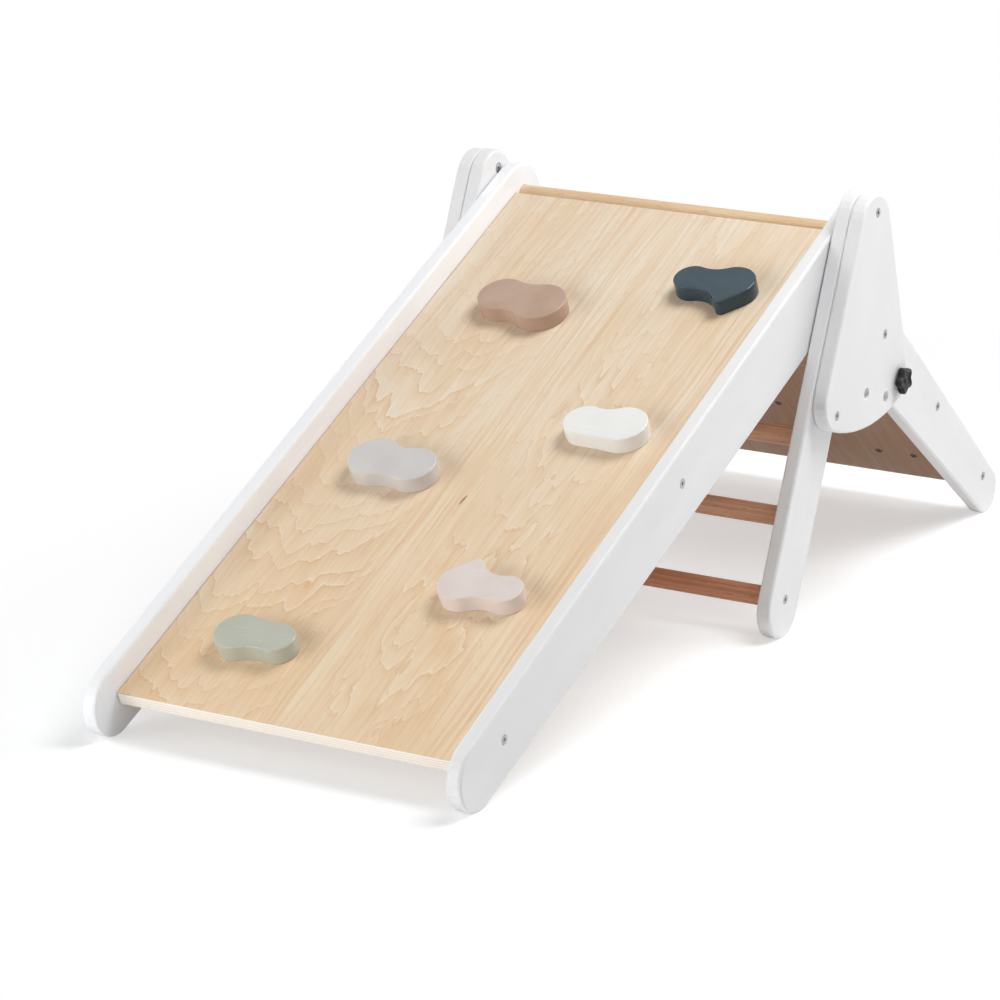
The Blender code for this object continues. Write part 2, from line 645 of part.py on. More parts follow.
def build_ramp():
    """Two rails notched over the top rung, the climbing panel and its holds, and the head dowel."""
    tilt = empty("ramp", hook)
    down = -math.pi / 2 - ramp_line.angle
    outline = tapered_outline(rail_length, RAIL_FOOT_R, RAIL_HEAD_R, 1, start_down=down)
    panel_middle = panel_top - PLY / 2
    screws = screw_places(PANEL_START, panel_length, PANEL_SCREW_LOW, PANEL_SCREW_HIGH)
    dowel = (rail_length + HEAD_DOWEL_PAST, HEAD_DOWEL_OFF)
    dowel_end = rail_inner + HEAD_DOWEL_SOCKET
    screw_bore = bore_for_head(rail_outer, HEAD_R, HEAD_THICK, SCREW_R, rail_inner - BOARD)
    dowel_bore = plain_bore(rail_inner - BOARD, dowel_end + FIT, cleared(RUNG_R, DOWEL_SIDES))

    # The slot runs from the rail's lower edge up and round the rung
    slot_r = cleared(RUNG_R, DOWEL_SIDES)
    slot = arc((hook_along, hook_off), slot_r, 0.0, math.pi, DOWEL_SIDES // 2)
    slot += [(hook_along - slot_r, -2 * RAIL_HEAD_R), (hook_along + slot_r, -2 * RAIL_HEAD_R)]
    for hand, side in SIDES:
        rail = board("ramp_rail_" + hand, outline, side * rail_inner, side * rail_outer)
        holes = [(dowel, hand_profile(dowel_bore, side), DOWEL_SIDES)]
        for number, along in enumerate(screws, 1):
            holes.append(((along, panel_middle), hand_profile(screw_bore, side), TURNED_SIDES))
            point = ramp_line.at(along, panel_middle)
            screw = hand_profile(screw_profile(rail_outer, SCREW_LENGTH), side)
            turned_piece("ramp_screw_%s_%d" % (hand, number), tilt, point, screw, STEEL)
        drill(rail, "bores", holes)
        walls = (side * (rail_inner - BOARD), side * (rail_outer + BOARD))
        rings = [[(wall, *point) for point in slot] for wall in walls]
        cut(rail, "notch", lambda bm: stack(bm, rings))
        place(rail, tilt, ramp_line.point, ramp_line.angle)
    ply_panel("ramp_panel", tilt, ramp_line, PANEL_START, panel_length, panel_under,
              rail_inner - FIT, screws)
    turned_piece("ramp_head_dowel", tilt, ramp_line.at(*dowel), plain_bore(-dowel_end, dowel_end, RUNG_R),
                 BEECH, DOWEL_SIDES)
    for name, across, along, turn, shape, look in RAMP_HOLDS:
        hold(name, tilt, ramp_line, panel_top, across * rail_inner,
             PANEL_START + along * panel_length, turn, shape, look)


def build_locks():
    """The star knobs whose studs go through the fan plates and hold the rear legs."""
    point = lock_holes[0]
    knob_back = fan_outer + FIT
    stud_end = knob_back + STUD_IN_KNOB
    stud_bore = plain_bore(knob_back - BOARD, stud_end + FIT, cleared(STUD_R, TURNED_SIDES))
    levels = [(0.0, KNOB_ROUND),
              (KNOB_ROUND, 0.0),
              (KNOB_THICK - KNOB_ROUND, 0.0),
              (KNOB_THICK, KNOB_ROUND)]
    for hand, side in SIDES:
        slide = empty("lock_" + hand, point, side * fan_outer)
        rings = []
        for depth, inset in levels:
            rings.append([(side * (knob_back + depth), *spot) for spot in knob_outline(inset)])
        knob = new_object("lock_knob_" + hand, lambda bm: stack(bm, rings))
        drill(knob, "bore", [((0.0, 0.0), hand_profile(stud_bore, side), TURNED_SIDES)])
        finish(knob, BLACK_PLASTIC)
        place(knob, slide, point)
        stud = hand_profile(plain_bore(fan_inner, stud_end, STUD_R), side)
        turned_piece("lock_stud_" + hand, slide, point, stud, STEEL)


# Outlines of the holds, as multiples of HOLD_LENGTH: the lobes counter-clockwise from the left one, each
# with its place and radius, and the radius of the hollow after each.  The boot has a small heel.
SAGE_SHAPE = ([(-0.50, 0.0, 0.56), (0.50, 0.0, 0.44)], [0.94, 6.0])
LILAC_SHAPE = ([(-0.52, 0.0, 0.64), (0.52, 0.0, 0.58)], [0.88, 0.44])
WHITE_SHAPE = ([(-0.48, 0.0, 0.50), (0.48, 0.0, 0.60)], [6.0, 0.62])
TAUPE_SHAPE = ([(-0.53, 0.0, 0.60), (0.53, 0.0, 0.68)], [0.50, 1.0])
BOOT_SHAPE = ([(-0.53, 0.0, 0.44), (0.48, -0.67, 0.15), (0.53, 0.0, 0.57)], [0.65, 12.0, 0.80])

# Climbing holds: name, place across and along the panel as parts of its half width and length, turn,
# outline and colour
RAMP_HOLDS = [
    ("hold_sage", -0.432, 0.113, math.radians(1), SAGE_SHAPE, SAGE),
    ("hold_pink", 0.530, 0.255, math.radians(181), BOOT_SHAPE, PALE_PINK),
    ("hold_lilac", -0.426, 0.437, math.radians(-3), LILAC_SHAPE, LILAC_GREY),
    ("hold_white", 0.536, 0.561, math.radians(3), WHITE_SHAPE, WARM_WHITE),
    ("hold_taupe", -0.421, 0.766, math.radians(-5), TAUPE_SHAPE, TAUPE),
    ("hold_slate", 0.563, 0.850, math.radians(2), BOOT_SHAPE, SLATE),
]
REAR_HOLDS = [
    ("rear_hold_sage", -0.646, 0.358, math.radians(180), SAGE_SHAPE, SAGE),
    ("rear_hold_pink", 0.646, 0.358, math.radians(-5), BOOT_SHAPE, PALE_PINK),
    ("rear_hold_white", 0.0, 0.606, math.radians(183), WHITE_SHAPE, WARM_WHITE),
    ("rear_hold_taupe", -0.646, 0.854, math.radians(176), TAUPE_SHAPE, TAUPE),
    ("rear_hold_slate", 0.646, 0.854, math.radians(180), BOOT_SHAPE, SLATE),
]


build_front_frame()
build_rear_frame()
build_ramp()
build_locks()
bpy.context.view_layer.update()
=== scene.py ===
"""Looks of the climbing triangle with its ramp: materials, details, floor, light and camera."""

import math
from collections import namedtuple

import bmesh
import bpy
from mathutils import Matrix, Vector


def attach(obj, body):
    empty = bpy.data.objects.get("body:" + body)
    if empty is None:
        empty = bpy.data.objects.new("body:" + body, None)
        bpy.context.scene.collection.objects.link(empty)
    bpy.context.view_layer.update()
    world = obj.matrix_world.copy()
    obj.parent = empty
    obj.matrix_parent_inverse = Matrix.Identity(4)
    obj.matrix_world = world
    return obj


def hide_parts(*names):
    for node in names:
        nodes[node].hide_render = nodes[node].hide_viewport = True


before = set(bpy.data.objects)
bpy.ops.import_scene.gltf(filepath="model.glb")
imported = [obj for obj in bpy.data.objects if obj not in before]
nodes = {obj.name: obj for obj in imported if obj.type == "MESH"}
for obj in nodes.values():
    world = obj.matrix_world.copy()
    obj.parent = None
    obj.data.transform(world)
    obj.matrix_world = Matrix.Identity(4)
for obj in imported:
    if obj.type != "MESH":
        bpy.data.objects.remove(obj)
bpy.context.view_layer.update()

SIDES = (("right", 1), ("left", -1))

# Lines of the boards in the side view: where they start, as Y and Z in metres, and their angles
RAMP_FOOT = (-0.618118, 0.039182)
PIVOT = (0.265218, 0.319811)
RAMP_ANGLE = math.radians(24.477)
LEG_ANGLE = math.radians(65.9)
REAR_ANGLE = math.radians(-38.70)
REAR_EDGE_ANGLE = math.radians(-40.98)

# The two plywood panels: the line they follow, how far above it the face lies, half the room
# between the boards beside them, where they start, how long they are, and how far below the holds
# their screws sit
Panel = namedtuple("Panel", "origin angle top half start length screw_drop")
RAMP_PANEL = Panel(RAMP_FOOT, RAMP_ANGLE, top=0.0095, half=0.222, start=0.004, length=0.95044,
                   screw_drop=0.0)
REAR_PANEL = Panel(PIVOT, REAR_EDGE_ANGLE, top=0.0335, half=0.2415, start=0.030, length=0.422,
                   screw_drop=0.0025)
# Their thickness, their number of sheets, and the gap between pieces that lie against each other
PLY = 0.016
PLY_COUNT = 9
FIT = 0.0003

# A line up a panel where the growth rings close into tips: its place across, the width of the tips,
# rings per metre beside and along it, how torn they are, and how far from it the figure shows
Heart = namedtuple("Heart", "place width slope climb tear reach")

# Textures: stretch across a board, along it and off it (None where it is the same all round),
# scale per metre, detail and roughness
TEXTURES = {
    "paint_cloud": ((3.0, 1.2, 3.0), 5.0, 3.0, 0.5),
    "paint_grain": ((60.0, 3.0, 60.0), 8.0, 5.0, 0.6),
    "paint_peel": (None, 620.0, 2.0, 0.5),
    "paint_dust": (None, 95.0, 3.0, 0.5),
    "ring_wander": ((13.0, 3.5, 1.0), 1.0, 1.0, 0.5),
    "ring_lobe": ((24.0, 8.0, 1.0), 1.0, 0.0, 0.5),
    "ring_tooth": ((58.0, 14.0, 1.0), 1.0, 0.0, 0.5),
    "ring_splinter": ((130.0, 22.0, 1.0), 1.0, 0.0, 0.5),
    "ring_faint": ((9.0, 5.0, 1.0), 1.0, 2.0, 0.5),
    "veneer_cloud": ((5.0, 1.8, 0.0), 2.2, 3.0, 0.5),
    "veneer_drift": ((16.0, 2.2, 0.0), 1.0, 2.0, 0.5),
    "veneer_streak": ((230.0, 4.5, 0.0), 1.0, 3.0, 0.6),
    "veneer_band": ((60.0, 2.0, 0.0), 1.0, 2.0, 0.5),
    "veneer_fibre": ((560.0, 15.0, 0.0), 1.0, 3.0, 0.7),
    "veneer_pore": ((850.0, 65.0, 0.0), 1.0, 1.0, 0.5),
    "ply_grain": ((500.0, 120.0, 300.0), 1.0, 3.0, 0.7),
    "beech_grain": ((5.0, 240.0, 240.0), 1.0, 4.0, 0.65),
    "beech_fleck": ((70.0, 900.0, 900.0), 1.0, 2.0, 0.5),
    "beech_cloud": ((6.0, 30.0, 30.0), 1.0, 2.0, 0.5),
    "hold_brush": ((24.0, 260.0, 260.0), 1.0, 4.0, 0.6),
    "hold_cloud": (None, 24.0, 3.0, 0.5),
    "hold_peel": (None, 700.0, 2.0, 0.5),
    "steel_mottle": (None, 420.0, 4.0, 0.6),
    "steel_scratch": ((1.0, 9.0, 1.0), 900.0, 2.0, 0.5),
    "plastic_spark": (None, 2600.0, 2.0, 0.5),
    "plastic_cloud": (None, 160.0, 3.0, 0.5),
    "floor_cloud": (None, 3.0, 2.0, 0.5),
}
# The levels that most of a noise texture lies between
SPREAD = (0.3, 0.7)


class Graph:
    """Short-hand for building one material's nodes."""

    def __init__(self, name):
        self.material = bpy.data.materials.new(name)
        self.material.use_nodes = True
        self.tree = self.material.node_tree
        self.shader = self.tree.nodes["Principled BSDF"]

    def add(self, kind, inputs=(), **settings):
        node = self.tree.nodes.new(kind)
        for key, value in settings.items():
            setattr(node, key, value)
        for key, value in dict(inputs).items():
            self.feed(node.inputs[key], value)
        return node

    def feed(self, socket, value):
        if isinstance(value, bpy.types.NodeSocket):
            self.tree.links.new(value, socket)
        elif isinstance(value, bpy.types.Node):
            self.tree.links.new(value.outputs[0], socket)
        else:
            socket.default_value = value

    def set(self, **inputs):
        """Feed what varies over the surface into the shader."""
        for key, value in inputs.items():
            self.feed(self.shader.inputs[key.replace("_", " ")], value)

    def fix(self, socket, value):
        """Set a number that is the same all over on the shader's own socket."""
        self.shader.inputs[socket].default_value = value

    def maths(self, operation, a, b=0.0, clamp=False):
        node = self.add("ShaderNodeMath", operation=operation, use_clamp=clamp)
        self.feed(node.inputs[0], a)
        self.feed(node.inputs[1], b)
        return node.outputs[0]

    def plus(self, a, b):
        return self.maths("ADD", a, b)

    def minus(self, a, b):
        return self.maths("SUBTRACT", a, b)

    def times(self, a, b, clamp=False):
        return self.maths("MULTIPLY", a, b, clamp)

    def size(self, a):
        return self.maths("ABSOLUTE", a)

    def object_axes(self, angle=0.0, origin=(0.0, 0.0)):
        """The object's own coordinates: X across, Y along a line of the side view, Z off it."""
        spot = self.add("ShaderNodeTexCoord").outputs["Object"]
        start = (0.0, -origin[0], -origin[1])
        shifted = self.add("ShaderNodeMapping", {"Vector": spot, "Location": start})
        turned = self.add("ShaderNodeMapping", {"Vector": shifted, "Rotation": (-angle, 0.0, 0.0)})
        return turned.outputs[0]

    def scaled(self, vector, scale):
        return self.add("ShaderNodeMapping", {"Vector": vector, "Scale": scale}).outputs[0]

    def texture(self, vector, name):
        """One of the noise textures listed in TEXTURES."""
        stretch, scale, detail, roughness = TEXTURES[name]
        if stretch is not None:
            vector = self.scaled(vector, stretch)
        node = self.add("ShaderNodeTexNoise", {"Vector": vector, "Scale": scale, "Detail": detail,
                                               "Roughness": roughness})
        return node.outputs["Fac"]

    def mix(self, factor, a, b, blend="MIX"):
        node = self.add("ShaderNodeMix", data_type="RGBA", blend_type=blend)
        self.feed(node.inputs["Factor"], factor)
        for socket, value in ((node.inputs[6], a), (node.inputs[7], b)):
            plain = isinstance(value, tuple) and len(value) == 3
            self.feed(socket, (*value, 1.0) if plain else value)
        return node.outputs[2]

    def range(self, value, low, high, to_low=0.0, to_high=1.0):
        node = self.add("ShaderNodeMapRange", {"Value": value, "From Min": low, "From Max": high,
                                               "To Min": to_low, "To Max": to_high})
        return node.outputs[0]

    def bump(self, height, strength, distance, under=None):
        node = self.add("ShaderNodeBump", {"Height": height, "Strength": strength,
                                           "Distance": distance})
        if under is not None:
            self.feed(node.inputs["Normal"], under)
        return node.outputs[0]

    def split(self, vector):
        return self.add("ShaderNodeSeparateXYZ", {"Vector": vector}).outputs


def srgb(red, green, blue):
    """Linear colour of an 8-bit display colour."""
    linear = []
    for value in (red, green, blue):
        level = value / 255
        linear.append(level / 12.92 if level <= 0.04045 else ((level + 0.055) / 1.055) ** 2.4)
    return tuple(linear)


def darker(colour, factor):
    return tuple(channel * factor for channel in colour)


def lighter(colour, share):
    return tuple(channel + (1.0 - channel) * share for channel in colour)


# White paint. The left rail's is written paler and a little cooler, to come out as light as in the
# photograph:
# painted light, a lit copy of the rail paint that stands in for more light on the rail's faces than
# the lamps give
PAINT_TONES = ((231, 231, 232), (236, 236, 237))
LEFT_PAINTED_LIGHT_TONES = ((242, 243, 246), (246, 247, 249))
PAINT_GRAIN_SHARE = 0.35
PAINT_GRAIN_DEPTH = 0.0006
PAINT_PEEL_DEPTH = 0.0004
PAINT_SPECULAR = 0.36


def white_paint(name, angle, origin, tones=PAINT_TONES):
    """Satin white paint, rolled over wood whose grain still shows a little."""
    g = Graph(name)
    axes = g.object_axes(angle, origin)
    shade, light = (srgb(*tone) for tone in tones)
    cloud = g.texture(axes, "paint_cloud")
    grain = g.texture(axes, "paint_grain")
    peel = g.texture(axes, "paint_peel")
    dust = g.texture(axes, "paint_dust")
    base = g.mix(g.range(cloud, *SPREAD), shade, light)
    base = g.mix(g.range(grain, 0.55, 0.75, 0.0, PAINT_GRAIN_SHARE), base, darker(shade, 0.93))
    rough = g.plus(g.range(dust, *SPREAD, 0.36, 0.46), g.range(grain, 0.4, 0.7, 0.0, 0.06))
    normal = g.bump(grain, 0.10, PAINT_GRAIN_DEPTH)
    normal = g.bump(peel, 0.06, PAINT_PEEL_DEPTH, normal)
    g.set(Base_Color=base, Roughness=rough, Normal=normal)
    g.fix("Specular IOR Level", PAINT_SPECULAR)
    return g.material


# Growth rings: their wander and tears are multiples of a heart's tear, the unevenness is in rings,
# and the distances from a heart where they begin to weaken and are weak are in widths of its tips
RING_WANDER = 2.4
RING_TEARS = (("ring_lobe", 5.0), ("ring_tooth", 1.6), ("ring_splinter", -1.0))
RING_UNEVEN = 1.3
RING_UNEVEN_SCALE = 0.7
RING_WEAKENS = 1.2
RING_WEAK = 3.2
RING_FAINTEST = 0.35
RING_SEED_STEP = 3.7


def growth(g, x, y, heart, seed):
    """Growth rings about a heart line: straight beside it, and nested tips down it.

    Gives where in its ring a point lies, from 0 to 1, and how strongly the rings show.
    """
    aside = g.minus(x, heart.place)
    spread = g.maths("SQRT", g.plus(g.times(aside, aside), heart.width * heart.width))
    count = g.minus(g.times(y, heart.climb), g.times(spread, heart.slope))
    spot = g.add("ShaderNodeCombineXYZ", {"X": x, "Y": y, "Z": seed}).outputs[0]
    wander = g.texture(spot, "ring_wander")
    count = g.plus(count, g.times(wander, heart.tear * RING_WANDER))
    # Round lobes towards the foot, torn into small sharp teeth
    for texture, share in RING_TEARS:
        lobe = g.size(g.minus(g.texture(spot, texture), 0.5))
        count = g.plus(count, g.times(lobe, heart.tear * share))
    uneven = g.add("ShaderNodeTexNoise", {"W": count, "Scale": RING_UNEVEN_SCALE, "Detail": 1.0},
                   noise_dimensions="1D")
    ring = g.maths("FRACT", g.plus(count, g.times(uneven, RING_UNEVEN)))
    near = g.range(g.size(aside), heart.width * RING_WEAKENS, heart.width * RING_WEAK,
                   1.0, RING_FAINTEST)
    faint = g.texture(spot, "ring_faint")
    return ring, g.times(near, g.range(faint, 0.35, 0.62, RING_FAINTEST, 1.0))


# How much of its own colour each part of the veneer's figure shows
LATE_SHARE = 0.52
LINE_SHARE = 0.30
RIM_SHARE = 0.80
BAND_SHARE = 0.32
STREAK_SHARE = 0.56
GLEAM_SHARE = 0.55
FIBRE_SHARE = 0.34
PORE_SHARE = 0.40
# How much of the painted shade shows in the joint beside a board
PAINTED_JOINT_SHADE_SHARE = 0.80


def ring_lines(g, face, ring, strength, pale, line):
    """Shade one set of rings: a slow deepening, a darker late line, a thin pale rim after it."""
    late = g.maths("POWER", ring, 1.4)
    dark = g.times(g.range(ring, 0.86, 0.955), g.range(ring, 1.0, 0.985), clamp=True)
    rim = g.times(g.range(ring, 0.0, 0.015), g.range(ring, 0.085, 0.03), clamp=True)
    face = g.mix(g.times(late, g.times(strength, LATE_SHARE)), face, line)
    face = g.mix(g.times(dark, g.times(strength, LINE_SHARE)), face, darker(line, 0.88))
    return g.mix(g.times(rim, g.times(strength, RIM_SHARE)), face, lighter(pale, 0.28))


# Colours of the plies' edges, of the painted highlight along their top, of the pith fleck and of
# the painted shade where a panel meets a board
PLY_PALE = srgb(254, 249, 242)
PLY_DARK = srgb(246, 230, 208)
PLY_FIBRE = srgb(240, 220, 192)
PLY_PAINTED_HIGHLIGHT = srgb(254, 250, 243)
PITH_COLOUR = srgb(132, 92, 58)
PAINTED_JOINT_SHADE = srgb(104, 74, 52)

# Sizes on a panel: the grain's sideways drift, the fringe of a heart's figure, the fleck's lean,
# slimness and radii, between which depths the face veneer and the painted highlight along the top
# of the edges end, how wide the painted shade beside a board is and how near to the edge it is
# full, and the depth of the fibres
GRAIN_DRIFT = 0.030
HEART_FRINGE = 0.035
PITH_LEAN = 0.10
PITH_SLIMNESS = 0.16
PITH_CORE, PITH_RIM = 0.0010, 0.0018
VENEER = (0.0004, 0.0006)
PAINTED_HIGHLIGHT_DEPTHS = (0.0012, 0.0020)
PAINTED_SHADE_WIDTH, PAINTED_SHADE_FULL = 0.0014, 0.0004
FIBRE_DEPTH = 0.0004
WOOD_SPECULAR = 0.22


def birch(name, panel, pale, warm, line, hearts, pith=None, tints=None, back=None):
    """Rotary-cut birch veneer with flame figure on the faces, and plies on the edges.

    pith is the place of a small dark fleck, tints the tones that the face takes from foot to top,
    and back a painted shade: a darker, redder tone multiplied onto the veneer on the panel's back,
    for the shade and warm bounce light under the panel.
    """
    g = Graph(name)
    axes = g.object_axes(panel.angle, panel.origin)
    x, y, z = g.split(axes)

    cloud = g.texture(axes, "veneer_cloud")
    drift = g.texture(axes, "veneer_drift")
    bend = g.plus(x, g.times(drift, GRAIN_DRIFT))
    grain = g.add("ShaderNodeCombineXYZ", {"X": bend, "Y": y}).outputs[0]
    streak = g.texture(grain, "veneer_streak")
    band = g.texture(grain, "veneer_band")
    fibre = g.texture(grain, "veneer_fibre")
    pore = g.texture(grain, "veneer_pore")
    face = g.mix(g.range(cloud, 0.36, 0.64), pale, warm)
    depth = g.minus(panel.top, z)
    behind = g.range(depth, PLY * 0.45, PLY * 0.55)

    # The flames fade towards the top and on the back, and straight grain shows beside them
    straight = 1.0
    fading = g.times(g.range(y, 0.50, 0.90, 1.0, 0.40), g.range(behind, 0.0, 1.0, 1.0, 0.25))
    for seed, heart in enumerate(hearts, 1):
        ring, strength = growth(g, x, y, heart, RING_SEED_STEP * seed)
        away = g.size(g.minus(x, heart.place))
        inside = g.range(away, heart.reach, heart.reach + HEART_FRINGE, 1.0, 0.0)
        inside = g.times(inside, fading)
        face = ring_lines(g, face, ring, g.times(strength, inside), pale, line)
        straight = g.minus(straight, g.times(inside, 0.55))
    face = g.mix(g.times(g.range(band, 0.42, 0.68, 0.0, BAND_SHARE), straight), face, line)
    face = g.mix(g.times(g.range(streak, 0.47, 0.68, 0.0, STREAK_SHARE), straight), face, line)
    face = g.mix(g.times(g.range(streak, 0.46, 0.31, 0.0, GLEAM_SHARE), straight), face,
                 lighter(pale, 0.20))
    face = g.mix(g.range(fibre, 0.53, 0.72, 0.0, FIBRE_SHARE), face, darker(line, 0.90))
    face = g.mix(g.range(pore, 0.67, 0.76, 0.0, PORE_SHARE), face, darker(line, 0.70))
    if tints is not None:
        face = g.mix(1.0, face, g.mix(g.range(y, 0.10, 0.85), *tints), "MULTIPLY")
    if pith is not None:
        away = g.add("ShaderNodeMapping", {"Vector": axes, "Location": (-pith[0], -pith[1], 0.0)})
        away = g.add("ShaderNodeMapping", {"Vector": away, "Rotation": (0.0, 0.0, PITH_LEAN)})
        away = g.scaled(away, (1.0, PITH_SLIMNESS, 0.0))
        far = g.add("ShaderNodeVectorMath", {0: away}, operation="LENGTH").outputs["Value"]
        face = g.mix(g.range(far, PITH_CORE, PITH_RIM, 0.75, 0.0), face, PITH_COLOUR)
    # Painted shade: the back veneer is multiplied by the darker, redder back tone, for the shade
    # and warm bounce light under the panel
    if back is not None:
        face = g.mix(behind, face, g.mix(1.0, face, back, "MULTIPLY"))

    # Plies on the edges: pale and darker sheets by turns between the two face veneers, and a
    # painted highlight, a pale line along the top of the edges where their rounded corner catches
    # the light
    sheet = g.maths("FRACT", g.times(depth, 0.5 * PLY_COUNT / PLY))
    middle = g.size(g.minus(sheet, 0.5))
    dark_sheet = g.range(middle, 0.30, 0.36)
    end_grain = g.texture(axes, "ply_grain")
    ply = g.mix(dark_sheet, PLY_PALE, PLY_DARK)
    ply = g.mix(g.range(end_grain, 0.5, 0.8, 0.0, 0.25), ply, PLY_FIBRE)
    # Painted highlight: a pale line just below the face veneer along the top of the edges
    ply = g.mix(g.range(depth, *PAINTED_HIGHLIGHT_DEPTHS, 0.9, 0.0), ply, PLY_PAINTED_HIGHLIGHT)
    below = g.size(g.minus(PLY, depth))
    edge_mask = g.range(g.maths("MINIMUM", g.size(depth), below), *VENEER)
    colour = g.mix(edge_mask, face, ply)

    # Painted shade: a dark line where the panel meets the boards beside it, in place of the shadow
    # in the gap between them
    side = panel.half - FIT
    painted_joint_shade = g.range(g.size(x), side - PAINTED_SHADE_WIDTH, side - PAINTED_SHADE_FULL)
    colour = g.mix(g.times(painted_joint_shade, PAINTED_JOINT_SHADE_SHARE), colour, PAINTED_JOINT_SHADE)

    normal = g.bump(fibre, 0.06, FIBRE_DEPTH)
    g.set(Base_Color=colour, Roughness=g.range(fibre, 0.3, 0.8, 0.44, 0.54), Normal=normal)
    g.fix("Specular IOR Level", WOOD_SPECULAR)
    return g.material


def beech(name, pale, warm, streak):
    """Beech dowel: straight grain along it with short flecks."""
    g = Graph(name)
    axes = g.object_axes()
    grain = g.texture(axes, "beech_grain")
    fleck = g.texture(axes, "beech_fleck")
    cloud = g.texture(axes, "beech_cloud")
    base = g.mix(g.range(cloud, 0.35, 0.65), pale, warm)
    base = g.mix(g.range(grain, 0.42, 0.66, 0.0, 0.65), base, streak)
    base = g.mix(g.range(fleck, 0.6, 0.7, 0.0, 0.5), base, darker(streak, 0.72))
    normal = g.bump(grain, 0.08, FIBRE_DEPTH)
    g.set(Base_Color=base, Roughness=g.range(grain, 0.3, 0.8, 0.46, 0.58), Normal=normal)
    g.fix("Specular IOR Level", WOOD_SPECULAR)
    return g.material


HOLD_BUMP_DEPTH = 0.0003
HOLD_SPECULAR = 0.40
HOLD_GLOSS = 0.24
SLATE_GLOSS = 0.12


def hold_paint(name, colour, light, gloss=HOLD_GLOSS):
    """Satin paint on a hold: soft brush marks over faint clouds. gloss is its lowest roughness."""
    g = Graph(name)
    axes = g.object_axes(RAMP_ANGLE, RAMP_FOOT)
    brush = g.texture(axes, "hold_brush")
    cloud = g.texture(axes, "hold_cloud")
    peel = g.texture(axes, "hold_peel")
    base = g.mix(g.range(cloud, 0.35, 0.65), colour, light)
    base = g.mix(g.range(brush, 0.55, 0.75, 0.0, 0.20), base, darker(colour, 0.95))
    normal = g.bump(brush, 0.015, HOLD_BUMP_DEPTH)
    normal = g.bump(peel, 0.05, HOLD_BUMP_DEPTH, normal)
    g.set(Base_Color=base, Roughness=g.range(brush, *SPREAD, gloss, gloss + 0.04), Normal=normal)
    g.fix("Specular IOR Level", HOLD_SPECULAR)
    return g.material


ZINC = (0.50, 0.50, 0.49)
BLACKENED = (0.06, 0.06, 0.06)
SCRATCH_DEPTH = 0.0003


def steel(name, colour):
    """Plated steel, turned and slightly uneven."""
    g = Graph(name)
    axes = g.object_axes()
    mottle = g.texture(axes, "steel_mottle")
    scratch = g.texture(axes, "steel_scratch")
    base = g.mix(g.range(mottle, *SPREAD), darker(colour, 0.75), colour)
    normal = g.bump(scratch, 0.15, SCRATCH_DEPTH)
    g.set(Base_Color=base, Roughness=g.range(mottle, *SPREAD, 0.26, 0.42), Normal=normal)
    g.fix("Metallic", 1.0)
    return g.material


PLASTIC_TONES = ((0.010, 0.010, 0.011), (0.018, 0.018, 0.019))
SPARK_DEPTH = 0.0002
PLASTIC_SPECULAR = 0.28


def black_plastic(name):
    """Moulded black plastic with a fine eroded texture."""
    g = Graph(name)
    axes = g.object_axes()
    spark = g.texture(axes, "plastic_spark")
    cloud = g.texture(axes, "plastic_cloud")
    base = g.mix(g.range(cloud, *SPREAD), *PLASTIC_TONES)
    normal = g.bump(spark, 0.25, SPARK_DEPTH)
    g.set(Base_Color=base, Roughness=g.range(cloud, *SPREAD, 0.38, 0.48), Normal=normal)
    g.fix("Specular IOR Level", PLASTIC_SPECULAR)
    return g.material


def dress(node, material):
    """Give a CAD node its finished material in every slot."""
    for spot in nodes[node].material_slots:
        spot.material = material


RAIL_PAINT = white_paint("rail_paint", RAMP_ANGLE, RAMP_FOOT)
# The left rail's paint is painted light: a paler, cooler copy of the rail paint
LEFT_RAIL_PAINTED_LIGHT = white_paint("left_rail_painted_light", RAMP_ANGLE, RAMP_FOOT, LEFT_PAINTED_LIGHT_TONES)
LEG_PAINT = white_paint("leg_paint", LEG_ANGLE, PIVOT)
REAR_PAINT = white_paint("rear_paint", REAR_ANGLE, PIVOT)
# Pale wood, warm wood and the late wood's lines
BIRCH_TONES = (srgb(238, 222, 198), srgb(235, 212, 182), srgb(221, 181, 137))
RAMP_BIRCH = birch("ramp_birch", RAMP_PANEL, *BIRCH_TONES,
                   (Heart(-0.150, 0.075, 50.0, 26.0, 0.55, 0.090),
                    Heart(0.082, 0.034, 34.0, 8.0, 0.90, 0.052)),
                   pith=(0.0073, 0.3936), tints=((1.0, 0.962, 0.905), (0.935, 0.972, 1.025)))
# The rear panel's back tone is painted shade: darker and redder, for the shade and warm bounce
# light under the panel
REAR_BIRCH_PAINTED_SHADE = birch("rear_birch_painted_shade", REAR_PANEL, *BIRCH_TONES,
                   (Heart(0.06, 0.060, 50.0, 24.0, 0.55, 0.11),), back=(0.56, 0.43, 0.38))
